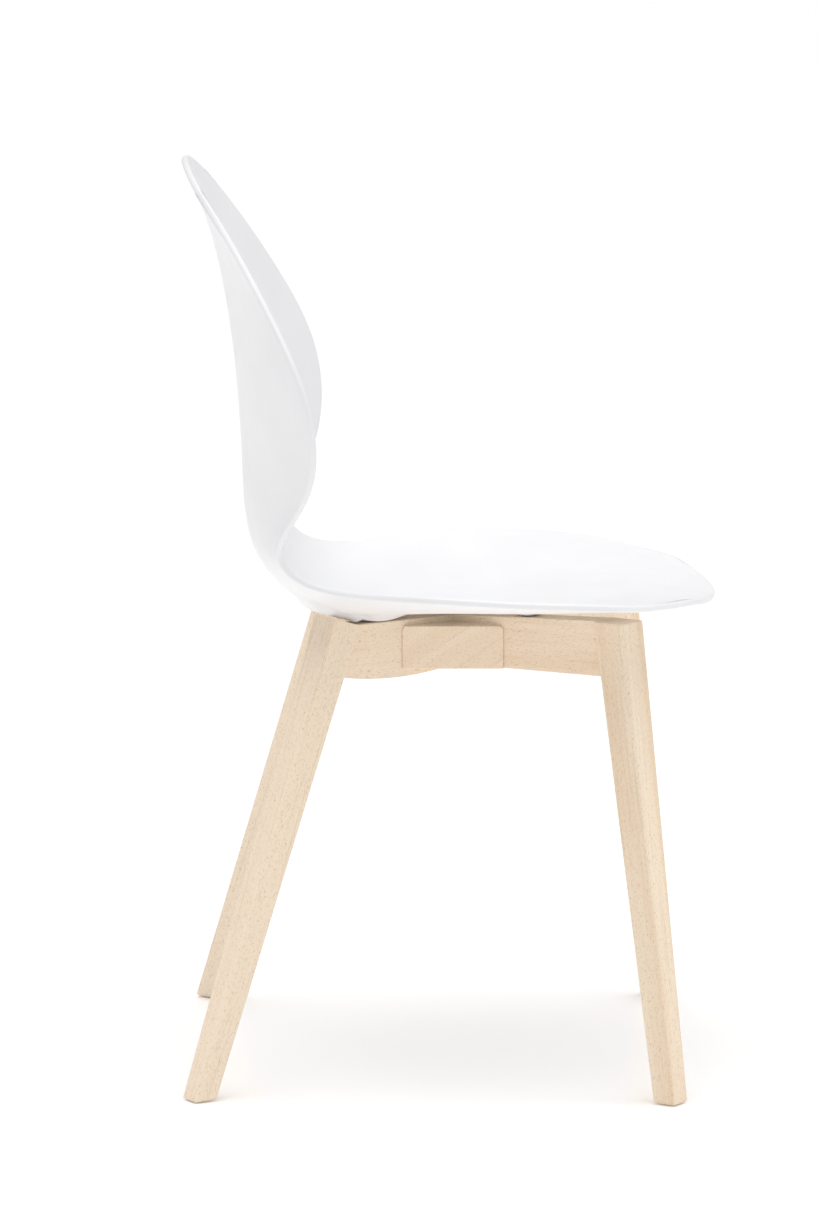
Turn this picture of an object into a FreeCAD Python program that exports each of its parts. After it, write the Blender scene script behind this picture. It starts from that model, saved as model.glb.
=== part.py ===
import FreeCAD, Part
import os
import Sketcher
from FreeCAD import Placement, Rotation, Vector

# Dining chair: a moulded plastic shell on a beech base of four splayed legs and two crossing rails.
# Row frame: origin on the floor at the centre of the chair's box, +Z up, the chair faces -Y.
# "forward" is measured towards the front of the chair from the point where the two rails cross,
# "lateral" from the mid-plane outwards. A leg and the rail that it joins share one local frame:
# x outwards along the rail, y square to it, z up from the floor.

DIMENSIONS = (
    # alias, value in mm or degrees, meaning
    ("crossing_forward", 3.7, "rail crossing ahead of the origin"),
    ("rail_angle", 33.2, "rail from the fore-aft line, degrees"),
    ("rail_width", 24, "rail, side to side"),
    ("rail_top", 413, "rail's top from the rear leg to the crossing"),
    ("rail_front_top", 421.5, "rail's top at the front leg, after a straight rise"),
    ("rail_rear_bottom", 366, "rail's underside at the rear leg"),
    ("rail_middle_bottom", 366.8, "rail's underside at the crossing"),
    ("rail_front_bottom", 370.5, "rail's underside at the front leg"),
    ("rail_belly_end", 5, "front end of the underside's curve, behind the crossing"),
    ("rail_belly_radius", 333, "curve of the rail's underside behind the crossing"),
    ("lap_height", 390, "shoulder of the half-lap joint"),
    ("glue_gap", 0.05, "clearance in the glued joints"),
    ("rear_joint_gap", 0.6, "the rear joint's extra gap at its low end"),
    ("rail_edge_radius", 1.2, "rounding of a rail's upper edges"),
    ("leg_loft_height", 450, "height where the upper leg section is given"),
    ("leg_foot_side", 22.9, "leg section at the floor"),
    ("leg_upper_side", 33.7, "leg section at the loft height"),
    ("front_foot_x", 297.6, "front foot, outwards along the rail"),
    ("front_foot_y", 93.9, "front foot, square to the rail"),
    ("front_lean_x", 123.9, "front leg's lean along the rail over the loft height"),
    ("front_lean_y", 98.9, "front leg's lean square to the rail"),
    ("front_top", 421.5, "front leg's top over the middle of its dowels"),
    ("front_top_slope", 0, "slope of the front leg's top, degrees"),
    ("rear_foot_x", 319.3, "rear foot, outwards along the rail"),
    ("rear_foot_y", 65.9, "rear foot, square to the rail"),
    ("rear_lean_x", 206.4, "rear leg's lean along the rail over the loft height"),
    ("rear_lean_y", 69.4, "rear leg's lean square to the rail"),
    ("rear_top", 416.4, "rear leg's top over the middle of its dowels"),
    ("rear_top_slope", 17, "slope of the rear leg's top, degrees"),
    ("leg_edge_radius", 1.6, "rounding of a leg's long edges and of a front leg's top"),
    ("foot_chamfer", 2.5, "chamfer around the foot"),
    ("block_length", 93.6, "side block, fore-aft"),
    ("block_face", 46.5, "side block's outer face from the mid-plane"),
    ("block_bottom", 367.5, "side block's underside"),
    ("block_height", 40, "side block's height"),
    ("block_corner_radius", 4, "side block's upper corners"),
    ("block_edge_radius", 1, "rounding around the side block's face"),
    ("dowel_radius", 4, "all dowels"),
    ("leg_dowel_length", 40, "dowels between rails and legs"),
    ("leg_dowel_y", 3, "leg dowels, outwards from the rail's middle"),
    ("front_dowel_x", 174, "middle of the front leg dowels along the rail"),
    ("rear_dowel_x", 124, "middle of the rear leg dowels along the rail"),
    ("low_dowel_z", 380, "lower leg dowel"),
    ("high_dowel_z", 402, "upper leg dowel"),
    ("block_dowel_length", 20, "dowels between rails and side blocks"),
    ("block_dowel_x", 31, "block dowel, outwards along the rail"),
    ("block_dowel_z", 387, "height of the block dowels"),
    ("front_screw_x", 84, "front shell screw, outwards along the rail"),
    ("rear_screw_x", 84.5, "rear shell screw, outwards along the rail"),
    ("front_seat_z", 416.4, "flat for the pad in the rail's top, front"),
    ("rear_seat_z", 411.8, "flat for the pad in the rail's top, rear"),
    ("front_bore_z", 386, "roof of the counterbore under the rail, front"),
    ("rear_bore_z", 382, "roof of the counterbore under the rail, rear"),
    ("screw_radius", 3, "shell screw, M6"),
    ("screw_hole_radius", 3.4, "clearance hole for a shell screw"),
    ("screw_length", 40, "shell screw under its head"),
    ("screw_head_radius", 5, "shell screw head"),
    ("screw_head_height", 6, "shell screw head"),
    ("socket_radius", 2.9, "hexagon socket, over its corners"),
    ("socket_depth", 3, "hexagon socket"),
    ("counterbore_radius", 7.2, "counterbore under the rail"),
    ("washer_radius", 6.5, "shell screw washer"),
    ("washer_height", 1.6, "shell screw washer"),
    ("spacer_radius", 6.5, "pad between boss and rail"),
    ("spacer_height", 1.6, "pad between boss and rail"),
    ("insert_radius", 4.5, "threaded insert in the boss"),
    ("insert_height", 8, "threaded insert in the boss"),
    ("boss_hole_depth", 9.6, "blind hole for the insert and the screw's tip"),
    ("boss_radius", 8, "shell boss at its foot"),
    ("boss_root_radius", 16, "shell boss where it meets the wall"),
    ("front_boss_root", 430.5, "top of the front boss, inside the wall"),
    ("rear_boss_root", 422.5, "top of the rear boss, inside the wall"),
    ("shell_thickness", 6.4, "wall of the moulded shell"),
    ("rim_radius", 2.6, "rounding of the shell's rim"),
    ("glide_radius", 6.5, "foot glide"),
    ("glide_height", 3, "foot glide"),
    ("glide_stand", 1, "part of the glide that stands under the foot"),
    ("nail_radius", 1.2, "glide nail"),
    ("nail_length", 15, "glide nail under its head"),
    ("nail_head_radius", 3, "glide nail head"),
    ("nail_head_height", 1, "glide nail head"),
    ("nail_recess", 2, "nail head's recess in the glide"),
)

# Cross rows of the shell from the seat's front edge, round the waist and up to the top of the back.
# Each row gives the spine's forward and height, the rim's forward, half width and height, and the
# power of the curve that joins them: 2 is a parabola, more is flatter in the middle.
SHELL_ROWS = (
    (243, 432, 212, 129, 444, 2.0),
    (186, 434.5, 170, 184, 446, 2.3),
    (138, 433, 130, 210, 451, 2.6),
    (70, 431, 64, 222, 455, 2.8),
    (-6, 428, -12, 206, 457, 2.8),
    (-65, 422.5, -65, 175, 455.5, 2.6),
    (-122, 424.5, -116, 142, 457, 2.4),
    (-155, 444, -145, 131, 467.5, 2.2),
    (-179, 473, -158, 135, 487, 2.0),
    (-189, 507, -150, 149, 512, 2.0),
    (-192, 552, -132, 174, 547, 2.0),
    (-198, 644, -131, 207, 632, 2.0),
    (-210, 727, -168, 168, 716, 2.0),
    (-233, 806, -216, 108, 792, 2.0),
    (-248, 838, -234, 84, 816, 2.0),
)
ROW_FIELDS = ("spine_forward", "spine_height", "rim_forward", "rim_width", "rim_height", "section_power")
SURFACE_ROWS = 49
SURFACE_COLUMNS = 25

SIDES = {"left": 1, "right": -1}
ENDS = ("front", "rear")
TOLERANCE = 0.01

doc = FreeCAD.newDocument("DiningChair")
sheet = doc.addObject("Spreadsheet::Sheet", "dims")
probe = doc.addObject("App::FeaturePython", "probe")
probe.addProperty("App::PropertyFloat", "Value")
nodes = []


# ---- sheet, expressions and small helpers ----

def fill_sheet():
    """Write every driving dimension and every shell row into the sheet, each cell with an alias."""
    entries = [(alias, value) for alias, value, _ in DIMENSIONS]
    for number, row in enumerate(SHELL_ROWS):
        entries += [(f"{field}_{number}", value) for field, value in zip(ROW_FIELDS, row)]
    for line, (alias, value) in enumerate(entries, start=1):
        sheet.set(f"A{line}", alias)
        sheet.set(f"B{line}", str(value))
        sheet.setAlias(f"B{line}", alias)
    doc.recompute()


def dim(alias):
    """The sheet's value of one dimension."""
    return float(getattr(sheet, alias))


def bind(target, prop, formula):
    """Bind a property to a formula, in which {alias} stands for a cell of the sheet."""
    names = {alias: f"dims.{alias}" for alias, _, _ in DIMENSIONS}
    target.setExpression(prop, formula.format(**names))


def value_of(formula):
    """The present value of a formula, used to draw a sketch near its final shape."""
    bind(probe, "Value", formula)
    probe.recompute()
    return probe.Value


def add_node(item, name):
    """Name a finished sub-part; its Label names its file."""
    item.Label = name
    nodes.append(item)
    return item


def along(point, direction):
    """A placement at a point with its z axis along a direction."""
    return Placement(point, Rotation(Vector(0, 0, 1), direction))


# ---- PartDesign helpers ----

def new_body(name, placement):
    body = doc.addObject("PartDesign::Body", name)
    body.Placement = placement
    return body


def new_sketch(body, name, role, height="0", turn="0"):
    """A sketch on one of the body's own origin planes, moved along its normal and turned in it."""
    plane = next(item for item in body.Origin.OriginFeatures if item.Role == role)
    sketch = body.newObject("Sketcher::SketchObject", name)
    sketch.AttachmentSupport = [(plane, "")]
    sketch.MapMode = "FlatFace"
    bind(sketch, "AttachmentOffset.Base.z", height)
    bind(sketch, "AttachmentOffset.Rotation.Angle", turn)
    return sketch


def starts_at(sketch, number, point):
    return sketch.getPoint(number, 1).distanceToPoint(point) < TOLERANCE


def add_polygon(sketch, corners, arcs=None):
    """A closed outline through corners given as pairs of formulas. arcs maps the number of a side,
    which starts at the corner of that number, to its radius formula and to a point that it bulges to."""
    arcs = arcs or {}
    count = len(corners)
    points = [Vector(value_of(x), value_of(y), 0) for x, y in corners]
    for number, start in enumerate(points):
        stop = points[(number + 1) % count]
        if number in arcs:
            x, y = arcs[number][1]
            sketch.addGeometry(Part.Arc(start, Vector(value_of(x), value_of(y), 0), stop), False)
        else:
            sketch.addGeometry(Part.LineSegment(start, stop), False)
    for number, corner in enumerate(corners):
        first = 1 if starts_at(sketch, number, points[number]) else 2
        following = (number + 1) % count
        meeting = 1 if starts_at(sketch, following, points[following]) else 2
        sketch.addConstraint(Sketcher.Constraint("Coincident", number, 3 - first, following, meeting))
        for kind, formula in zip(("DistanceX", "DistanceY"), corner):
            rule = Sketcher.Constraint(kind, -1, 1, number, first, value_of(formula))
            bind(sketch, f"Constraints[{sketch.addConstraint(rule)}]", formula)
    for number, (radius, _) in arcs.items():
        rule = Sketcher.Constraint("Radius", number, value_of(radius))
        bind(sketch, f"Constraints[{sketch.addConstraint(rule)}]", radius)


def add_rectangle(sketch, length, width):
    """A rectangle around the sketch's own origin."""
    x, y = f"({length}) / 2", f"({width}) / 2"
    add_polygon(sketch, [(f"-{x}", f"-{y}"), (x, f"-{y}"), (x, y), (f"-{x}", y)])


def pad(body, sketch, name, length, midplane=False):
    feature = body.newObject("PartDesign::Pad", name)
    feature.Profile = sketch
    feature.Midplane = midplane
    bind(feature, "Length", length)
    doc.recompute()


def pocket_through(body, sketch, name, midplane=False, towards_normal=False):
    """A pocket through everything on its side, which has to take material away."""
    before = body.Shape.Volume
    feature = body.newObject("PartDesign::Pocket", name)
    feature.Profile = sketch
    feature.Type = "ThroughAll"
    feature.Midplane = midplane
    feature.Reversed = towards_normal
    doc.recompute()
    if body.Shape.Volume > before - TOLERANCE:
        raise RuntimeError(f"{name} cuts nothing")


def dress(body, kind, name, prop, size, wanted):
    """A Fillet or Chamfer on the edges of the body's last feature that the function wanted picks."""
    base = body.Tip
    picked = [f"Edge{n}" for n, edge in enumerate(base.Shape.Edges, start=1) if wanted(edge)]
    feature = body.newObject(f"PartDesign::{kind}", name)
    feature.Base = (base, picked)
    bind(feature, prop, size)
    doc.recompute()


# ---- Part helpers ----

def cylinder(name, radius, height, placement):
    item = doc.addObject("Part::Cylinder", name)
    bind(item, "Radius", radius)
    bind(item, "Height", height)
    item.Placement = placement
    return item


def cut(name, base, tools):
    """The base with every tool taken away."""
    group = doc.addObject("Part::Compound", f"{name}_tools")
    group.Links = tools
    item = doc.addObject("Part::Cut", name)
    item.Base = base
    item.Tool = group
    return item


def gather(name, items):
    """Separate equal solids as one node."""
    group = doc.addObject("Part::Compound", name)
    group.Links = items
    return add_node(group, name)


# ---- frames ----

def rail_frame(end, side):
    """The local frame of a leg and its rail end, in the row frame; forward is -Y."""
    from_forward = dim("rail_angle") if end == "front" else 180 - dim("rail_angle")
    turn = Rotation(Vector(0, 0, 1), -90 + SIDES[side] * from_forward)
    return Placement(Vector(0, -dim("crossing_forward"), 0), turn)


def outward(end, side):
    """The sign of local y that points away from the chair's mid-plane."""
    return SIDES[side] if end == "front" else -SIDES[side]


def in_row(end, side, x, y, z):
    """A point given along the rail, outwards from the rail's middle and up, in the row frame."""
    return rail_frame(end, side).multVec(Vector(x, outward(end, side) * y, z))


def rail_axis(end, side):
    """Unit vector outwards along the rail."""
    return rail_frame(end, side).Rotation.multVec(Vector(1, 0, 0))


def block_axis(end, side):
    """Unit vector out of the rail's side, into the side block."""
    return rail_frame(end, side).Rotation.multVec(Vector(0, outward(end, side), 0))


def corners():
    return [(end, side) for end in ENDS for side in SIDES]


# ---- holes shared by rails, legs, blocks and their dowels ----

def leg_dowel(name, end, side, height, radius, length):
    """A dowel, or its hole, across the joint of a rail and a leg."""
    middle = in_row(end, side, dim(f"{end}_dowel_x"), dim("leg_dowel_y"), dim(height))
    start = middle - rail_axis(end, side) * (value_of(length) / 2)
    return cylinder(name, radius, length, along(start, rail_axis(end, side)))


def leg_dowels(prefix, end, side, radius, length):
    return [leg_dowel(f"{prefix}_{height}", end, side, height, radius, length)
            for height in ("low_dowel_z", "high_dowel_z")]


def block_dowel(name, end, side, radius, length):
    """A dowel, or its hole, across the joint of a rail and a side block."""
    middle = in_row(end, side, dim("block_dowel_x"), dim("rail_width") / 2, dim("block_dowel_z"))
    start = middle - block_axis(end, side) * (value_of(length) / 2)
    return cylinder(name, radius, length, along(start, block_axis(end, side)))


HOLE_RADIUS = "{dowel_radius} + {glue_gap}"
LEG_HOLE_LENGTH = "{leg_dowel_length} + 1"
BLOCK_HOLE_LENGTH = "{block_dowel_length} + 1"


def screw_point(end, side, height):
    """A point on the axis of a shell screw."""
    return in_row(end, side, dim(f"{end}_screw_x"), 0, height)


# ---- legs ----

def make_leg(end, side):
    """A tapered square leg that leans both ways, cut to its top, rounded, and bored for dowels and nail."""
    name = f"{end}_{side}_leg"
    body = new_body(f"{name}_body", rail_frame(end, side))
    sign = outward(end, side)
    foot = new_sketch(body, f"{name}_foot", "XY_Plane", "{glide_stand}")
    upper = new_sketch(body, f"{name}_upper", "XY_Plane", "{leg_loft_height}")
    for sketch, side_length, lean in ((foot, "{leg_foot_side}", 0), (upper, "{leg_upper_side}", 1)):
        x = f"{{{end}_foot_x}} - {lean} * {{{end}_lean_x}}"
        y = f"{sign} * ({{{end}_foot_y}} - {lean} * {{{end}_lean_y}})"
        bind(sketch, "AttachmentOffset.Base.x", x)
        bind(sketch, "AttachmentOffset.Base.y", y)
        add_rectangle(sketch, side_length, side_length)
    loft = body.newObject("PartDesign::AdditiveLoft", f"{name}_loft")
    loft.Profile = foot
    loft.Sections = [upper]
    loft.Ruled = True
    doc.recompute()
    cut_leg_top(body, name, end)
    dress(body, "Chamfer", f"{name}_foot_edges", "Size", "{foot_chamfer}", is_foot_edge)
    wanted = is_long_edge if end == "rear" else is_long_or_top_edge
    dress(body, "Fillet", f"{name}_edges", "Radius", "{leg_edge_radius}", wanted)
    tools = leg_dowels(f"{name}_hole", end, side, HOLE_RADIUS, LEG_HOLE_LENGTH)
    tools += glide_bores(name, end, side)
    add_node(cut(name, body, tools), name)


def is_foot_edge(edge):
    """True for an edge that lies in the plane of the foot's end."""
    return edge.BoundBox.ZMax < dim("glide_stand") + TOLERANCE


def is_long_edge(edge):
    """True for one of the four edges that run up the leg."""
    return edge.Length > dim("leg_loft_height") / 2


def is_long_or_top_edge(edge):
    """True for a long edge and for an edge of a front leg's level top, apart from the one at the rail."""
    inner_face = dim("front_foot_x") - dim("front_lean_x") * dim("front_top") / dim("leg_loft_height")
    top = edge.BoundBox.ZMin > dim("front_top") - TOLERANCE and edge.BoundBox.XMax > inner_face
    return is_long_edge(edge) or top


def cut_leg_top(body, name, end):
    """Take off everything over a plane at the leg's top, which slopes up outwards."""
    inner = f"{{{end}_dowel_x}} - 60"
    outer = f"{{{end}_dowel_x}} + 60"
    start = f"{{{end}_top}} - 60 * tan({{{end}_top_slope}})"
    stop = f"{{{end}_top}} + 60 * tan({{{end}_top_slope}})"
    sketch = new_sketch(body, f"{name}_top", "XZ_Plane")
    add_polygon(sketch, [(inner, start), (outer, stop), (outer, "2 * {leg_loft_height}"),
                         (inner, "2 * {leg_loft_height}")])
    pocket_through(body, sketch, f"{name}_top_cut", midplane=True)


def glide_bores(name, end, side):
    """The glide's recess and the nail's pilot hole in the foot."""
    point = foot_point(end, side, 0)
    return [cylinder(f"{name}_glide_bore", "{glide_radius} + {glue_gap}", "{glide_height}", along_up(point)),
            cylinder(f"{name}_nail_bore", "{nail_radius} + {glue_gap}", "{nail_length} + 4", along_up(point))]


def along_up(point):
    return Placement(point, Rotation())


def foot_point(end, side, height):
    """A point over the centre of a foot."""
    return in_row(end, side, dim(f"{end}_foot_x"), dim(f"{end}_foot_y"), height)


# ---- rails ----

def make_rail(side):
    """A rail from the front leg on one side to the rear leg on the other, half lapped at the crossing."""
    other = "right" if side == "left" else "left"
    name = f"{side}_front_cross_rail"
    body = new_body(f"{name}_body", rail_frame("front", side))
    profile = new_sketch(body, f"{name}_profile", "XZ_Plane")
    rear_low = (end_face("rear", "{rail_rear_bottom}") + " + {rear_joint_gap}", "{rail_rear_bottom}")
    middle_low = ("-{rail_belly_end}", "{rail_middle_bottom}")
    front_low = (end_face("front", "{rail_front_bottom}"), "{rail_front_bottom}")
    front_high = (end_face("front", "{rail_front_top}"), "{rail_front_top}")
    middle_high = ("0", "{rail_top}")
    rear_high = (end_face("rear", "{rail_top}"), "{rail_top}")
    belly = ("{rail_belly_radius}", ("-{rear_dowel_x} / 2", "{rail_rear_bottom} - 6"))
    add_polygon(profile, [rear_low, middle_low, front_low, front_high, middle_high, rear_high], {0: belly})
    pad(body, profile, f"{name}_blank", "{rail_width}", midplane=True)
    dress(body, "Fillet", f"{name}_edges", "Radius", "{rail_edge_radius}", is_rail_edge)
    lap = new_sketch(body, f"{name}_lap", "XY_Plane", "{lap_height}", f"{-SIDES[side]} * 2 * {{rail_angle}}")
    add_rectangle(lap, "4 * {rail_width}", "{rail_width} + 2 * {glue_gap}")
    pocket_through(body, lap, f"{name}_notch", towards_normal=(side == "left"))
    tools = rail_bores(name, "front", side) + rail_bores(name, "rear", other)
    add_node(cut(name, body, tools), name)


def is_rail_edge(edge):
    """True for one of the upper edges that run along the rail."""
    return edge.BoundBox.XLength > 2 * dim("rail_width") and edge.BoundBox.ZMin > dim("rail_top") - TOLERANCE


def end_face(end, height):
    """Formula of the rail's x where it meets the inner face of a leg at a height."""
    lean = f"({{{end}_lean_x}} + ({{leg_upper_side}} - {{leg_foot_side}}) / 2)"
    face = f"{{{end}_foot_x}} - {{leg_foot_side}} / 2 - {lean} * ({height} - {{glide_stand}})"
    face = f"{face} / ({{leg_loft_height}} - {{glide_stand}}) - {{glue_gap}}"
    return face if end == "front" else f"-({face})"


def rail_bores(name, end, side):
    """Holes at one end of a rail: leg dowels, block dowel, screw, counterbore and pad seat."""
    tools = leg_dowels(f"{name}_{end}_hole", end, side, HOLE_RADIUS, LEG_HOLE_LENGTH)
    tools.append(block_dowel(f"{name}_{end}_block_hole", end, side, HOLE_RADIUS, BLOCK_HOLE_LENGTH))
    low = screw_point(end, side, 300)
    tools.append(cylinder(f"{name}_{end}_screw_hole", "{screw_hole_radius}", "200", along_up(low)))
    bore = f"{{{end}_bore_z}} - 300"
    tools.append(cylinder(f"{name}_{end}_counterbore", "{counterbore_radius}", bore, along_up(low)))
    seat = screw_point(end, side, dim(f"{end}_seat_z"))
    tools.append(cylinder(f"{name}_{end}_seat", "{spacer_radius} + 0.2", "20", along_up(seat)))
    return tools


# ---- side blocks ----

def make_block(side):
    """A block in the V between the rails, with a rounded face and its back cut to the rails' sides."""
    name = f"{side}_side_block"
    turn = Rotation(Vector(0, 0, 1), 0 if side == "left" else 180)
    body = new_body(f"{name}_body", Placement(Vector(0, -dim("crossing_forward"), 0), turn))
    face = new_sketch(body, f"{name}_face", "YZ_Plane")
    half, radius = "{block_length} / 2", "{block_corner_radius}"
    top = "{block_bottom} + {block_height}"
    bend = f"0.293 * {radius}"
    add_polygon(face, [(f"-{half}", "{block_bottom}"), (half, "{block_bottom}"), (half, f"{top} - {radius}"),
                       (f"{half} - {radius}", top), (f"-({half} - {radius})", top),
                       (f"-{half}", f"{top} - {radius}")],
                {2: (radius, (f"{half} - {bend}", f"{top} - {bend}")),
                 4: (radius, (f"-({half} - {bend})", f"{top} - {bend}"))})
    pad(body, face, f"{name}_blank", "{block_face}")
    dress(body, "Fillet", f"{name}_edges", "Radius", "{block_edge_radius}", is_block_face_edge)
    wedge = new_sketch(body, f"{name}_wedge", "XY_Plane")
    apex = "({rail_width} / 2 + {glue_gap}) / cos({rail_angle})"
    wide = f"{apex} + {{block_length}} * tan({{rail_angle}})"
    add_polygon(wedge, [("-10", "-{block_length}"), (wide, "-{block_length}"), (apex, "0"),
                        (wide, "{block_length}"), ("-10", "{block_length}")])
    pocket_through(body, wedge, f"{name}_wedge_cut", towards_normal=True)
    tools = [block_dowel(f"{name}_{end}_hole", end, side, HOLE_RADIUS, BLOCK_HOLE_LENGTH) for end in ENDS]
    add_node(cut(name, body, tools), name)


def is_block_face_edge(edge):
    """True for an edge around the block's outer face."""
    return edge.BoundBox.XMin > dim("block_face") - TOLERANCE


# ---- dowels, screws, washers, inserts and pads ----

def make_dowels():
    leg_items = []
    for end, side in corners():
        leg_items += leg_dowels(f"{end}_{side}_dowel", end, side, "{dowel_radius}", "{leg_dowel_length}")
    gather("leg_dowels", leg_items)
    gather("block_dowels", [block_dowel(f"{end}_{side}_block_dowel", end, side, "{dowel_radius}",
                                        "{block_dowel_length}") for end, side in corners()])


def boss_foot(end):
    """Height of the boss's foot, on top of the pad."""
    return dim(f"{end}_seat_z") + dim("spacer_height")


def make_ring(name, outer, inner, height, placement):
    disc = cylinder(f"{name}_disc", outer, height, placement)
    hole = cylinder(f"{name}_hole", inner, height, placement)
    return cut(name, disc, [hole])


def make_screw(name, end, side):
    """A socket-head screw that goes up from under the rail."""
    bearing = dim(f"{end}_bore_z") - dim("washer_height")
    under_head = along_up(screw_point(end, side, bearing))
    shank = cylinder(f"{name}_shank", "{screw_radius}", "{screw_length}", under_head)
    low = along_up(screw_point(end, side, bearing - dim("screw_head_height")))
    head = cylinder(f"{name}_head", "{screw_head_radius}", "{screw_head_height}", low)
    whole = doc.addObject("Part::Fuse", f"{name}_whole")
    whole.Base, whole.Tool = head, shank
    socket = doc.addObject("Part::Prism", f"{name}_socket")
    socket.Polygon = 6
    bind(socket, "Circumradius", "{socket_radius}")
    bind(socket, "Height", "{socket_depth}")
    socket.Placement = low
    return cut(name, whole, [socket])


def make_shell_fasteners():
    gather("shell_screws", [make_screw(f"{end}_{side}_screw", end, side) for end, side in corners()])
    washers, inserts = [], []
    for end, side in corners():
        roof = along_up(screw_point(end, side, dim(f"{end}_bore_z") - dim("washer_height")))
        washers.append(make_ring(f"{end}_{side}_washer", "{washer_radius}", "{screw_radius} + 0.2",
                                 "{washer_height}", roof))
        foot = along_up(screw_point(end, side, boss_foot(end) + dim("glue_gap")))
        inserts.append(make_ring(f"{end}_{side}_insert", "{insert_radius}", "{screw_radius} + {glue_gap}",
                                 "{insert_height}", foot))
        seat = along_up(screw_point(end, side, dim(f"{end}_seat_z")))
        name = f"{end}_{side}_spacer"
        add_node(make_ring(name, "{spacer_radius}", "{screw_hole_radius}", "{spacer_height}", seat), name)
    gather("shell_washers", washers)
    gather("shell_inserts", inserts)


# ---- glides ----

def make_glides():
    nails = []
    for end, side in corners():
        name = f"{end}_{side}_glide"
        floor = along_up(foot_point(end, side, 0))
        disc = cylinder(f"{name}_disc", "{glide_radius}", "{glide_height}", floor)
        recess = cylinder(f"{name}_recess", "{nail_head_radius} + 0.2", "{nail_recess}", floor)
        hole = cylinder(f"{name}_hole", "{nail_radius} + {glue_gap}", "{glide_height}", floor)
        add_node(cut(name, disc, [recess, hole]), name)
        bearing = dim("nail_recess")
        shank = cylinder(f"{name}_nail_shank", "{nail_radius}", "{nail_length}",
                         along_up(foot_point(end, side, bearing)))
        head = cylinder(f"{name}_nail_head", "{nail_head_radius}", "{nail_head_height}",
                        along_up(foot_point(end, side, bearing - dim("nail_head_height"))))
        nail = doc.addObject("Part::Fuse", f"{name}_nail")
        nail.Base, nail.Tool = head, shank
        nails.append(nail)
    gather("glide_nails", nails)


# ---- shell ----

def row_curves():
    """Smooth curves through the rows' spine points, rim points and section powers, on one parameter."""
    rows = [[dim(f"{field}_{number}") for field in ROW_FIELDS] for number in range(len(SHELL_ROWS))]
    spine = [Vector(row[0], 0, row[1]) for row in rows]
    rim = [Vector(row[2], row[3], row[4]) for row in rows]
    knots = [0.0]
    for number in range(1, len(rows)):
        step = (spine[number] - spine[number - 1]).Length + (rim[number] - rim[number - 1]).Length
        knots.append(knots[-1] + step)
    power = [Vector(row[5], knot, 0) for row, knot in zip(rows, knots)]
    curves = []
    for points in (spine, rim, power):
        curve = Part.BSplineCurve()
        curve.interpolate(Points=points, Parameters=knots)
        curves.append(curve)
    return curves, knots[-1]


def middle_point(curves, place, across):
    """A point of the wall's middle surface; across runs from -1 on the right rim to 1 on the left."""
    spine, rim, power = (curve.value(place) for curve in curves)
    rise = abs(across) ** power.x
    forward = spine.x + (rim.x - spine.x) * rise
    height = spine.z + (rim.z - spine.z) * rise
    return Vector(rim.y * across, -dim("crossing_forward") - forward, height)


def wall_grids():
    """Grids of points on the outer side and the sitting side of the wall."""
    curves, end = row_curves()
    small = 1e-3
    sitting, outer = [], []
    half = dim("shell_thickness") / 2
    for row in range(SURFACE_ROWS):
        place = end * row / (SURFACE_ROWS - 1)
        near, far = max(place - small * end, 0), min(place + small * end, end)
        sitting.append([])
        outer.append([])
        for column in range(SURFACE_COLUMNS):
            across = 2 * column / (SURFACE_COLUMNS - 1) - 1
            left, right = min(across + small, 1), max(across - small, -1)
            lengthwise = middle_point(curves, far, across) - middle_point(curves, near, across)
            crosswise = middle_point(curves, place, left) - middle_point(curves, place, right)
            normal = crosswise.cross(lengthwise).normalize()
            point = middle_point(curves, place, across)
            sitting[-1].append(point + normal * half)
            outer[-1].append(point - normal * half)
    return outer, sitting


def boundary(grid):
    """The four border lines of a grid."""
    return [grid[0], [row[-1] for row in grid], grid[-1], [row[0] for row in grid]]


def wall_solid():
    """The moulded wall: two smooth faces and four ruled edge faces, sewn to a solid with a rounded rim."""
    grids = wall_grids()
    faces = []
    for grid in grids:
        surface = Part.BSplineSurface()
        surface.interpolate(grid)
        faces.append(surface.toShape())
    for number in range(4):
        edges = [border_edge(face, boundary(grid)[number]) for face, grid in zip(faces, grids)]
        faces.append(Part.makeRuledSurface(edges[0], edges[1]))
    hull = Part.makeShell(faces)
    hull.sewShape()
    solid = Part.makeSolid(Part.Shell(hull.Faces))
    if solid.Volume < 0:
        solid.reverse()
    rim = [edge for edge in solid.Edges if edge.Length > 2 * dim("shell_thickness")]
    return solid.makeFillet(dim("rim_radius"), rim)


def border_edge(face, line):
    """The face's border edge that runs through the middle of a line of points."""
    middle = Part.Vertex(line[len(line) // 2])
    return min(face.Edges, key=lambda edge: edge.distToShape(middle)[0])


def make_shell():
    """The wall with its four mounting bosses, each with a blind hole for a threaded insert."""
    bosses, holes = [], []
    for end, side in corners():
        foot = boss_foot(end)
        base = screw_point(end, side, foot)
        bosses.append(Part.makeCone(dim("boss_radius"), dim("boss_root_radius"),
                                    dim(f"{end}_boss_root") - foot, base))
        holes.append(Part.makeCylinder(dim("insert_radius") + dim("glue_gap"), dim("boss_hole_depth"), base))
    item = doc.addObject("Part::Feature", "seat_shell")
    item.Shape = wall_solid().fuse(bosses).cut(holes)
    item.Placement = Placement()
    add_node(item, "seat_shell")


# ---- build, check and write ----

def check_document():
    """Stop on any failed object and on any empty or invalid sub-part."""
    for item in doc.Objects:
        if "Invalid" in item.State or "Error" in item.State:
            raise RuntimeError(f"{item.Name} failed: {item.State}")
    for item in nodes:
        if item.Shape.isNull() or not item.Shape.isValid() or item.Shape.Volume < TOLERANCE:
            raise RuntimeError(f"{item.Label} has no valid shape")


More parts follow.
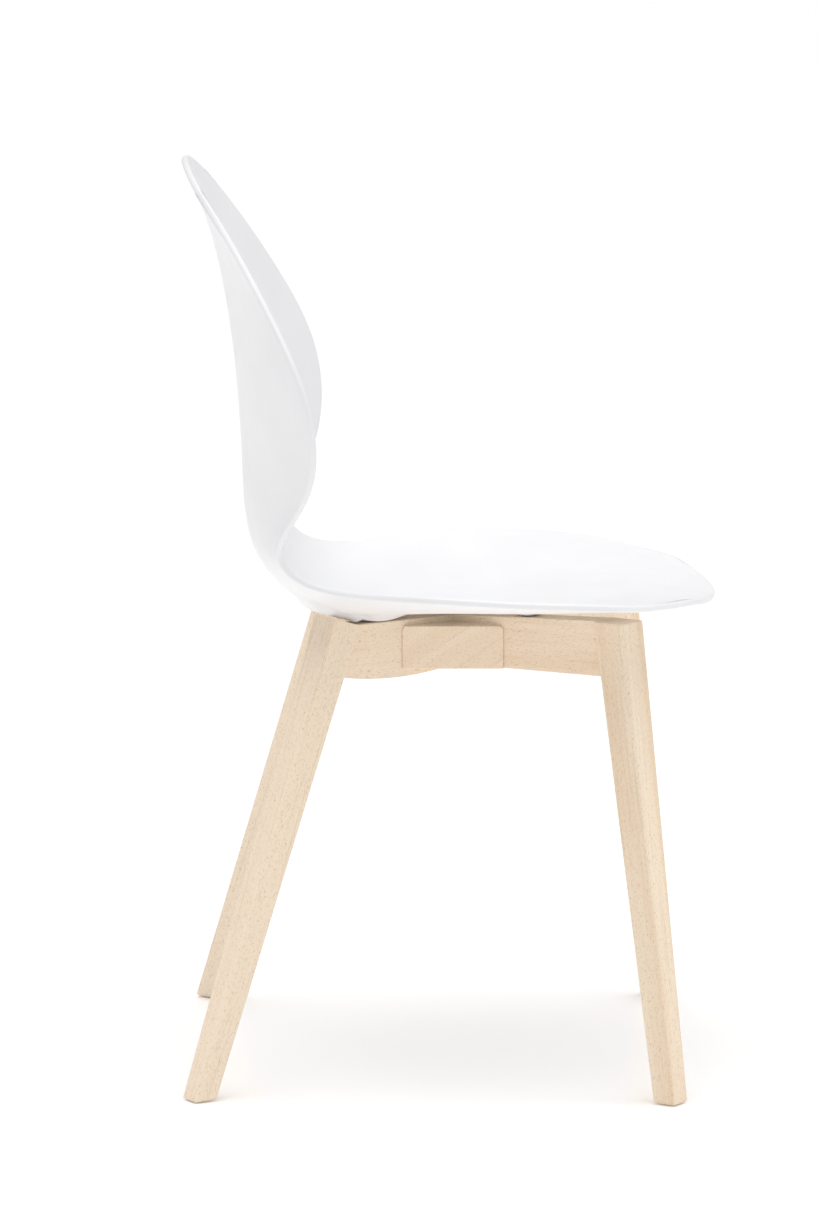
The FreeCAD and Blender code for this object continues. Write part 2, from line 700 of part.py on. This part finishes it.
def write_parts():
    os.makedirs("parts", exist_ok=True)
    for item in nodes:
        item.Shape.exportStep(os.path.join("parts", f"{item.Label}.step"))


def main():
    fill_sheet()
    make_shell()
    for end, side in corners():
        make_leg(end, side)
    for side in SIDES:
        make_rail(side)
        make_block(side)
    make_dowels()
    make_shell_fasteners()
    make_glides()
    doc.removeObject(probe.Name)
    doc.recompute()
    check_document()
    write_parts()
    for item in nodes:
        box = item.Shape.BoundBox
        print(f"{item.Label}: {len(item.Shape.Solids)} solids, {item.Shape.Volume / 1000:.1f} cm3, "
              f"X {box.XMin:.1f} {box.XMax:.1f}, Y {box.YMin:.1f} {box.YMax:.1f}, "
              f"Z {box.ZMin:.1f} {box.ZMax:.1f}")


main()
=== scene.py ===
import math

import bpy
import numpy as np
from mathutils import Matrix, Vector


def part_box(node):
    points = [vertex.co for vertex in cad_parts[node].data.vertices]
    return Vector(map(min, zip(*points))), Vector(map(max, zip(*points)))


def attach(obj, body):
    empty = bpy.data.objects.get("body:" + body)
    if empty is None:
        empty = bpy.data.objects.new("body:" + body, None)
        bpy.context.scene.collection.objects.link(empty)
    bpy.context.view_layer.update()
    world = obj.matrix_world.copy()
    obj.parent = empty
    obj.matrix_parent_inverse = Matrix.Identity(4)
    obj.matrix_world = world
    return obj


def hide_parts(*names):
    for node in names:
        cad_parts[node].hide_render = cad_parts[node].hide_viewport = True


# Dining chair: a white moulded shell on a pale beech base. Lengths are in metres, in the row frame:
# +Z up from the floor, the chair faces -Y, +X is the sitter's left.

MM = 0.001
CROSSING_FORWARD = 3.7 * MM      # crossing of the rails ahead of the origin
RAIL_ANGLE = math.radians(33.2)  # rail from the fore-aft line

# Cross rows of the shell from the seat's front edge, round the waist and up to the top of the back, in mm.
# Each row gives the spine's forward and height, the rim's forward, half width and height, and the power
# of the curve that joins them. They are the rows that the CAD shell is made from.
SHELL_ROWS = np.array((
    (243, 432, 212, 129, 444, 2.0),
    (186, 434.5, 170, 184, 446, 2.3),
    (138, 433, 130, 210, 451, 2.6),
    (70, 431, 64, 222, 455, 2.8),
    (-6, 428, -12, 206, 457, 2.8),
    (-65, 422.5, -65, 175, 455.5, 2.6),
    (-122, 424.5, -116, 142, 457, 2.4),
    (-155, 444, -145, 131, 467.5, 2.2),
    (-179, 473, -158, 135, 487, 2.0),
    (-189, 507, -150, 149, 512, 2.0),
    (-192, 552, -132, 174, 547, 2.0),
    (-198, 644, -131, 207, 632, 2.0),
    (-210, 727, -168, 168, 716, 2.0),
    (-233, 806, -216, 108, 792, 2.0),
    (-248, 838, -234, 84, 816, 2.0),
))
WALL = 6.4 * MM                  # thickness of the shell
RIM_RADIUS = 2.6 * MM            # rounding of its rim
RIM_STEPS = 6                    # segments round each rounded edge
LENGTHWISE, CROSSWISE = 261, 131  # grid lines of the shell
BORDER = 0.035                   # share of the half width between the rim and the first grid line inside it
END_BORDER = 0.008               # share of the length between each end and the first grid line inside it
SMALL_STEP = 1e-3                # share of the length or half width, for the surface's slopes
BOSS_FLAT = 6.5 * MM             # radius of a boss's flat foot
BOSS_FLARE = {"front": 17 * MM, "rear": 36 * MM}  # width of its blend into the wall
BOSS_HIGHEST = 0.46              # the bosses shape the seat, which lies under this height
SADDLE_START = 29 * MM           # a saddle runs from each rear boss out over the leg's sloping top
SADDLE_END = 60 * MM             # from the screw, where the saddle starts to fade
SADDLE_FADE = 30 * MM            # length over which it fades into the wall
SADDLE_SLOPE = math.tan(math.radians(17))
SADDLE_RISE = 1.6 * MM           # over the boss's foot, which leaves the shell 1.7 mm clear of the leg
SADDLE_BLEND = 16 * MM           # length over which it rises out of the boss's flank
SADDLE_FLAT, SADDLE_FLARE = 10 * MM, 6 * MM  # its half width, and the width of its blend into the wall
GROOVE_AWAY, GROOVE_WIDTH, GROOVE_DEPTH = 19 * MM, 7 * MM, 4.4 * MM  # hollow along the saddle's sides

CAMERA_DISTANCE = 7.7049         # from the chair's mid-plane
CAMERA_HEIGHT = 1.678
CAMERA_ASIDE = 0.0207            # behind the origin
CAMERA_DOWN = math.radians(9.340)
CAMERA_TURN = math.radians(0.121)
CAMERA_LENS = 246.2              # mm, for 36 mm along the frame's long side

# How much paler each piece of beech is painted, where it differs from the rest: painted light, drawn paler
# to stand in for brighter light falling on these pieces, not paler wood.
LIT_PIECE_PALENESS = {"rear_right_leg": 0.6, "rear_left_leg": 0.6, "left_front_cross_rail": 0.5}
BLOCK_GRAIN = 35                 # slant of a side block's grain, in degrees

FLOOR_SIZE = 60
FLOOR_FINISH = {"Base Color": (0.95, 0.95, 0.95, 1), "Roughness": 0.18, "IOR": 1.12,
                "Emission Color": (1, 1, 1, 1), "Emission Strength": 0.08}
WORLD_COLOUR, WORLD_STRENGTH = (0.99, 0.99, 1.0, 1), 0.55
SUN_ANGLE, SUN_STRENGTH = math.radians(72), 2.0
SUN_PLACE = (0, 0, 3)
AREA_SIZE = 1.8
AREA_TARGET = (0, 0, 0.4)
AREA_LIGHTS = (                  # name, power in watts, place
    ("front", 11, (-0.6, -3.4, 1.7)),
    ("rear_low", 3, (-1.6, 3.2, 0.4)),
    ("camera_side", 1, (-3.2, 0, 0.9)),
)

SIDES = {"left": 1, "right": -1}
CORNERS = [(end, side) for end in ("front", "rear") for side in SIDES]


# ---- node helpers ----

class Shader:
    """A material with a Principled shader, and short ways to add the nodes that feed it."""

    def __init__(self, name, sockets):
        self.material = bpy.data.materials.new(name)
        self.material.use_nodes = True
        self.tree = self.material.node_tree
        self.surface = self.tree.nodes["Principled BSDF"]
        for socket, value in sockets.items():
            self.surface.inputs[socket].default_value = value

    def node(self, kind, links=(), **settings):
        """A node with settings; links are pairs of one of its input sockets and an output or a value."""
        made = self.tree.nodes.new(kind)
        for setting, value in settings.items():
            setattr(made, setting, value)
        for socket, source in links:
            if isinstance(source, bpy.types.NodeSocket):
                self.tree.links.new(source, made.inputs[socket])
            else:
                made.inputs[socket].default_value = source
        return made

    def feed(self, socket, source):
        self.tree.links.new(source, self.surface.inputs[socket])

    def place(self, scale, rotation=(0, 0, 0), offset=(0, 0, 0)):
        """Object coordinates, turned and scaled."""
        coordinates = self.node("ShaderNodeTexCoord").outputs["Object"]
        turned = self.node("ShaderNodeMapping", [("Vector", coordinates), ("Rotation", rotation)],
                           vector_type="TEXTURE").outputs[0]
        return self.node("ShaderNodeMapping", [("Vector", turned), ("Location", offset),
                                               ("Scale", scale)]).outputs[0]

    def noise(self, vector, scale=1.0, detail=2.0, rough=0.5, distortion=0.0):
        links = [("Vector", vector), ("Scale", scale), ("Detail", detail), ("Roughness", rough),
                 ("Distortion", distortion)]
        return self.node("ShaderNodeTexNoise", links).outputs[0]

    def span(self, value, low, high, to_low=0.0, to_high=1.0):
        """A value's range, low to high, stretched smoothly over another range."""
        links = [("Value", value), ("From Min", low), ("From Max", high), ("To Min", to_low),
                 ("To Max", to_high)]
        return self.node("ShaderNodeMapRange", links, interpolation_type="SMOOTHSTEP").outputs[0]

    def mix(self, factor, first, second):
        """A blend of two colours."""
        made = self.node("ShaderNodeMix", data_type="RGBA")
        for socket, source in ((0, factor), (6, first), (7, second)):
            if isinstance(source, bpy.types.NodeSocket):
                self.tree.links.new(source, made.inputs[socket])
            else:
                made.inputs[socket].default_value = source
        return made.outputs[2]

    def math(self, operation, first, second):
        return self.node("ShaderNodeMath", [(0, first), (1, second)], operation=operation).outputs[0]

    def bump(self, height, strength, distance):
        links = [("Height", height), ("Strength", strength), ("Distance", distance)]
        self.feed("Normal", self.node("ShaderNodeBump", links).outputs[0])


def colour(red, green, blue):
    """A linear colour from display values of 0 to 255."""
    def linear(value):
        share = value / 255
        return share / 12.92 if share <= 0.04045 else ((share + 0.055) / 1.055) ** 2.4
    return (linear(red), linear(green), linear(blue), 1.0)


# ---- materials ----

def shell_plastic():
    """Satin polypropylene with a fine moulded grain and faint flow marks."""
    shader = Shader("shell_plastic", {"IOR": 1.49})
    cloud = shader.noise(shader.place((1, 1, 1)), 7.0, 2.0)
    shader.feed("Base Color", shader.mix(shader.span(cloud, 0.3, 0.7), colour(234, 234, 235),
                                         colour(238, 238, 239)))
    sheen = shader.noise(shader.place((1, 1, 1)), 60.0, 3.0)
    shader.feed("Roughness", shader.span(sheen, 0.3, 0.7, 0.33, 0.42))
    grain = shader.noise(shader.place((1, 1, 1)), 1400.0, 2.0)
    shader.bump(grain, 0.05, 0.0002)
    return shader.material


def beech(name, rotation, offset, lit_paleness=0.0):
    """Pale matt beech with its grain along the x axis of the rotation: soft growth streaks, fine pores and
    the short dark flecks of its rays. The last argument, up to 1, is a piece's share of the palest tone:
    painted light, a lift that stands in for brighter light on the piece."""
    shader = Shader(name, {"IOR": 1.45})
    streak = shader.noise(shader.place((2.2, 48, 48), rotation, offset), 1.0, 4.0, 0.55, 0.35)
    line = shader.noise(shader.place((5, 260, 260), rotation, offset), 1.0, 3.0, 0.6, 0.2)
    pore = shader.noise(shader.place((190, 2600, 2600), rotation, offset), 1.0, 2.0, 0.6)
    fleck = shader.noise(shader.place((330, 1500, 1500), rotation, offset), 1.0, 1.0, 0.4)
    patch = shader.noise(shader.place((3, 9, 9), rotation, offset), 1.0, 2.0)
    wood = shader.mix(shader.span(streak, 0.32, 0.68), colour(238, 215, 186), colour(247, 230, 206))
    # painted light: pieces listed in the paleness table are lifted towards the palest tone, on top of its
    # random patches
    wood = shader.mix(shader.span(patch, 0.3, 0.7, lit_paleness, lit_paleness + 0.35), wood, colour(246, 228, 205))
    wood = shader.mix(shader.span(line, 0.5, 0.72, 0.0, 0.34), wood, colour(218, 188, 154))
    wood = shader.mix(shader.span(pore, 0.52, 0.72, 0.0, 0.20), wood, colour(208, 175, 138))
    dark = shader.span(fleck, 0.61, 0.68, 0.0, 0.42)
    wood = shader.mix(dark, wood, colour(184, 140, 98))
    shader.feed("Base Color", wood)
    shader.feed("Roughness", shader.span(line, 0.3, 0.7, 0.50, 0.64))
    relief = shader.math("ADD", shader.math("MULTIPLY", line, 0.7), shader.math("MULTIPLY", dark, -0.4))
    shader.bump(relief, 0.18, 0.0004)
    return shader.material


def pad_rubber():
    """Black rubber with a matt, slightly mottled face."""
    shader = Shader("pad_rubber", {"IOR": 1.52})
    mottle = shader.noise(shader.place((1, 1, 1)), 900.0, 3.0)
    shader.feed("Base Color", shader.mix(mottle, (0.012, 0.012, 0.013, 1), (0.030, 0.030, 0.031, 1)))
    shader.feed("Roughness", shader.span(mottle, 0.3, 0.7, 0.6, 0.8))
    shader.bump(mottle, 0.2, 0.0002)
    return shader.material


def turned_metal(name, first, second, rough):
    """Metal with fine turning marks round the vertical axis and light scuffs."""
    shader = Shader(name, {"Metallic": 1.0})
    scuff = shader.noise(shader.place((1, 1, 1)), 300.0, 4.0)
    marks = shader.noise(shader.place((60, 60, 5000)), 1.0, 2.0)
    shader.feed("Base Color", shader.mix(scuff, first, second))
    shader.feed("Roughness", shader.span(marks, 0.3, 0.7, rough - 0.08, rough + 0.10))
    shader.bump(marks, 0.15, 0.0001)
    return shader.material


def glide_nylon():
    """Off-white nylon with a moulded grain, scuffed where it meets the floor."""
    shader = Shader("glide_nylon", {"IOR": 1.53})
    scuff = shader.noise(shader.place((1, 1, 1)), 420.0, 4.0, 0.65)
    shader.feed("Base Color", shader.mix(shader.span(scuff, 0.45, 0.75), colour(226, 224, 218),
                                         colour(196, 192, 184)))
    shader.feed("Roughness", shader.span(scuff, 0.3, 0.7, 0.42, 0.62))
    shader.bump(scuff, 0.1, 0.0002)
    return shader.material


def paint(node, material):
    """Put one material in every slot of a CAD node."""
    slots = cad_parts[node].data.materials
    for number in range(len(slots)):
        slots[number] = material
    if not len(slots):
        slots.append(material)


def grain_rotation(node):
    """Euler angles that lay the x axis along a wooden piece, from its low end to its high end."""
    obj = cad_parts[node]
    points = np.array([v.co for v in obj.data.vertices])
    spread = np.linalg.eigh(np.cov((points - points.mean(0)).T))[1][:, -1]
    if spread[2] < 0:
        spread = -spread
    return Vector(spread).to_track_quat("X", "Z").to_euler()


def paint_base():
    """Give each wooden piece a grain of its own along its length, and the hardware its finishes."""
    wooden = [f"{end}_{side}_leg" for end, side in CORNERS]
    wooden += [f"{side}_front_cross_rail" for side in SIDES]
    for number, node in enumerate(wooden):
        offset = (0.37 * number, 0.11 * number, 0.23 * number)
        # painted light: the listed pieces get a paler beech in place of brighter light on them
        paint(node, beech(f"beech_{node}", grain_rotation(node), offset, LIT_PIECE_PALENESS.get(node, 0)))
    for number, side in enumerate(SIDES):
        slant = (0, math.radians(-BLOCK_GRAIN * SIDES[side]), math.radians(90))
        paint(f"{side}_side_block", beech(f"beech_{side}_side_block", slant, (0.5 + number, 0.2, 0.3)))
    dowel_wood = beech("beech_dowel", (0, 0, RAIL_ANGLE), (0.1, 0.7, 0.4))
    for node in ("leg_dowels", "block_dowels"):
        paint(node, dowel_wood)
    rubber, nylon = pad_rubber(), glide_nylon()
    for end, side in CORNERS:
        paint(f"{end}_{side}_spacer", rubber)
        paint(f"{end}_{side}_glide", nylon)
    steel = turned_metal("screw_steel", (0.50, 0.50, 0.51, 1), (0.60, 0.60, 0.61, 1), 0.34)
    for node in ("shell_screws", "shell_washers", "glide_nails"):
        paint(node, steel)
    paint("shell_inserts", turned_metal("insert_brass", (0.72, 0.53, 0.24, 1), (0.80, 0.62, 0.32, 1), 0.30))


# ---- shell ----

def smooth_curve(knots, values, places):
    """A natural cubic spline through values at knots, read at places."""
    count = len(knots)
    gap = np.diff(knots)
    slope = np.diff(values, axis=0) / gap[:, None]
    matrix = np.eye(count)
    right = np.zeros((count, values.shape[1]))
    for number in range(1, count - 1):
        before, after = gap[number - 1], gap[number]
        matrix[number, number - 1:number + 2] = (before, 2 * (before + after), after)
        right[number] = 6 * (slope[number] - slope[number - 1])
    bend = np.linalg.solve(matrix, right)
    part = np.clip(np.searchsorted(knots, places, side="right") - 1, 0, count - 2)
    left = (places - knots[part])[:, None]
    width = gap[part][:, None]
    first = slope[part] - width * (2 * bend[part] + bend[part + 1]) / 6
    return (values[part] + left * first + left ** 2 * bend[part] / 2
            + left ** 3 * (bend[part + 1] - bend[part]) / (6 * width))


def middle_surface(places, across, knots):
    """Points of the wall's middle surface, for arrays of places along the shell and shares across it."""
    row = smooth_curve(knots, SHELL_ROWS, places.ravel()).reshape(places.shape + (6,))
    rise = np.abs(across) ** row[..., 5]
    forward = row[..., 0] + (row[..., 2] - row[..., 0]) * rise
    height = row[..., 1] + (row[..., 4] - row[..., 1]) * rise
    return np.stack([row[..., 3] * across * MM, -forward * MM - CROSSING_FORWARD, height * MM], axis=-1)


def unit(vectors):
    return vectors / np.linalg.norm(vectors, axis=-1, keepdims=True)


def shell_knots():
    """Distance along the shell of each row, as the mean of the paths of spine and rim."""
    spine = np.linalg.norm(np.diff(SHELL_ROWS[:, 0:2], axis=0), axis=1)
    rim = np.linalg.norm(np.diff(SHELL_ROWS[:, 2:5], axis=0), axis=1)
    return np.concatenate([[0], np.cumsum(spine + rim)])


def shell_grid():
    """Points and sitting-side normals of the middle surface, on a grid with narrow cells along the rim."""
    knots = shell_knots()
    end = knots[-1]
    inset = end * END_BORDER
    along = np.concatenate([[0], np.linspace(inset, end - inset, LENGTHWISE - 2), [end]])
    side = np.concatenate([[-1], np.linspace(BORDER - 1, 1 - BORDER, CROSSWISE - 2), [1]])
    place, across = np.meshgrid(along, side, indexing="ij")
    step = SMALL_STEP * end
    lengthwise = (middle_surface(np.minimum(place + step, end), across, knots)
                  - middle_surface(np.maximum(place - step, 0), across, knots))
    crosswise = (middle_surface(place, np.minimum(across + SMALL_STEP, 1), knots)
                 - middle_surface(place, np.maximum(across - SMALL_STEP, -1), knots))
    return middle_surface(place, across, knots), unit(np.cross(crosswise, lengthwise))


def rim_loop():
    """Grid indices round the border, once, in order."""
    last, far = LENGTHWISE - 1, CROSSWISE - 1
    loop = [(number, 0) for number in range(last)]
    loop += [(last, number) for number in range(far)]
    loop += [(number, far) for number in range(last, 0, -1)]
    loop += [(0, number) for number in range(far, 0, -1)]
    return loop


def fall(distance, flat, flare):
    """A share of 1 up to the flat's edge that falls smoothly to 0 over the flare."""
    share = np.clip((flat + flare - distance) / flare, 0, 1)
    return share * share * (3 - 2 * share)


def add_bosses(points):
    """Draw the wall's outer side down round each screw to the flat foot of its boss, and down over each
    rear leg's sloping top."""
    height = points[..., 2].copy()
    for end, side in CORNERS:
        low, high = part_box(f"{end}_{side}_spacer")
        centre, foot = (low + high) / 2, high.z
        across, back = points[..., 0] - centre.x, points[..., 1] - centre.y
        drawn = height + (foot - height) * fall(np.hypot(across, back), BOSS_FLAT, BOSS_FLARE[end])
        if end == "rear":
            angle = RAIL_ANGLE * SIDES[side]
            out = across * math.sin(angle) + back * math.cos(angle)
            off = np.abs(across * math.cos(angle) - back * math.sin(angle))
            top = foot + SADDLE_RISE + np.maximum(out - SADDLE_START, 0) * SADDLE_SLOPE
            along = fall(out, SADDLE_END, SADDLE_FADE) * fall(SADDLE_START - out, 0, SADDLE_BLEND)
            share = fall(off, SADDLE_FLAT, SADDLE_FLARE) * along
            drawn = np.minimum(drawn, height + np.minimum(top - height, 0) * share)
            drawn += GROOVE_DEPTH * along * fall(np.abs(off - GROOVE_AWAY), 0, GROOVE_WIDTH)
        points[..., 2] += np.where(height < BOSS_HIGHEST, drawn - height, 0)


def make_shell():
    """The moulded shell as one closed mesh: sitting side, outer side with bosses, and a rounded rim."""
    middle, normal = shell_grid()
    loop = rim_loop()
    rows, columns = np.array(loop).T
    edge, up = middle[rows, columns], normal[rows, columns]
    forward = unit(np.roll(edge, -1, axis=0) - np.roll(edge, 1, axis=0))
    outwards = unit(np.cross(forward, up))
    if np.mean(np.sum(outwards * (edge - middle.mean(axis=(0, 1))), axis=1)) < 0:
        outwards = -outwards
    sitting, outer = middle + normal * WALL / 2, middle - normal * WALL / 2
    for grid, sign in ((sitting, 1), (outer, -1)):
        grid[rows, columns] = edge - outwards * RIM_RADIUS + up * sign * WALL / 2
    add_bosses(outer)
    rings = []
    for sign in (1, -1):
        for step in range(RIM_STEPS + 1):
            turn = math.pi / 2 * step / RIM_STEPS
            if sign < 0:
                turn = math.pi / 2 - turn
            reach = RIM_RADIUS * (math.sin(turn) - 1)
            rise = sign * (WALL / 2 - RIM_RADIUS + RIM_RADIUS * math.cos(turn))
            rings.append(edge + outwards * reach + up * rise)
    rings = rings[1:-1]
    count = LENGTHWISE * CROSSWISE
    points = [sitting.reshape(-1, 3), outer.reshape(-1, 3)] + rings
    faces = []
    for row in range(LENGTHWISE - 1):
        for column in range(CROSSWISE - 1):
            corner = row * CROSSWISE + column
            quad = (corner, corner + 1, corner + CROSSWISE + 1, corner + CROSSWISE)
            faces.append(quad)
            faces.append(tuple(index + count for index in quad[::-1]))
    border = [row * CROSSWISE + column for row, column in loop]
    lines = [border]
    for ring in range(len(rings)):
        start = 2 * count + ring * len(loop)
        lines.append(list(range(start, start + len(loop))))
    lines.append([index + count for index in border])
    for first, second in zip(lines, lines[1:]):
        for number in range(len(loop)):
            following = (number + 1) % len(loop)
            faces.append((first[number], first[following], second[following], second[number]))
    mesh = bpy.data.meshes.new("moulded_shell")
    mesh.from_pydata([tuple(point) for point in np.concatenate(points)], [], faces)
    mesh.validate()
    mesh.shade_smooth()
    shell = bpy.data.objects.new("moulded_shell", mesh)
    bpy.context.scene.collection.objects.link(shell)
    mesh.materials.append(shell_plastic())
    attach(shell, "root")
    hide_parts("seat_shell")


# ---- floor, lights and camera ----

def make_floor():
    """A plain, nearly white floor that just catches the chair's shadow and a faint reflection."""
    bpy.ops.mesh.primitive_plane_add(size=FLOOR_SIZE, location=(0, 0, 0))
    floor = bpy.context.object
    floor.name = "floor"
    floor.data.materials.append(Shader("floor", FLOOR_FINISH).material)


def aim(item, place, target):
    """Put a light in a place and turn it to a point."""
    item.location = place
    item.rotation_euler = (Vector(target) - Vector(place)).to_track_quat("-Z", "Y").to_euler()
    bpy.context.scene.collection.objects.link(item)


def make_lights():
    """An even pale surround, a very wide soft light overhead and three weaker ones round the chair."""
    world = bpy.data.worlds.new("studio")
    world.use_nodes = True
    background = world.node_tree.nodes["Background"].inputs
    background["Color"].default_value = WORLD_COLOUR
    background["Strength"].default_value = WORLD_STRENGTH
    bpy.context.scene.world = world
    overhead = bpy.data.lights.new("overhead", "SUN")
    overhead.angle = SUN_ANGLE
    overhead.energy = SUN_STRENGTH
    aim(bpy.data.objects.new("overhead", overhead), SUN_PLACE, (0, 0, 0))
    for name, power, place in AREA_LIGHTS:
        data = bpy.data.lights.new(name, "AREA")
        data.size = AREA_SIZE
        data.energy = power
        aim(bpy.data.objects.new(name, data), place, AREA_TARGET)


def make_camera():
    """The side view from the sitter's right, from far away and a little above."""
    data = bpy.data.cameras.new("camera")
    data.lens = CAMERA_LENS
    data.clip_end = 100
    camera = bpy.data.objects.new("camera", data)
    camera.location = (-CAMERA_DISTANCE, CAMERA_ASIDE, CAMERA_HEIGHT)
    level = math.cos(CAMERA_DOWN)
    look = Vector((math.cos(CAMERA_TURN) * level, math.sin(CAMERA_TURN) * level, -math.sin(CAMERA_DOWN)))
    camera.rotation_euler = look.to_track_quat("-Z", "Y").to_euler()
    bpy.context.scene.collection.objects.link(camera)
    bpy.context.scene.camera = camera


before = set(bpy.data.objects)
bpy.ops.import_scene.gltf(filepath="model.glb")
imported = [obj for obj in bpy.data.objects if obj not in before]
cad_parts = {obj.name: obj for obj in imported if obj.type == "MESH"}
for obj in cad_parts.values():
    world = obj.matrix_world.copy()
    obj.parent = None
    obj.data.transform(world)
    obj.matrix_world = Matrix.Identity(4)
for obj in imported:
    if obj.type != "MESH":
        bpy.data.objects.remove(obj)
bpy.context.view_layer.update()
make_camera()
make_floor()
make_lights()
make_shell()
paint_base()
bpy.context.scene.view_settings.view_transform = "Standard"
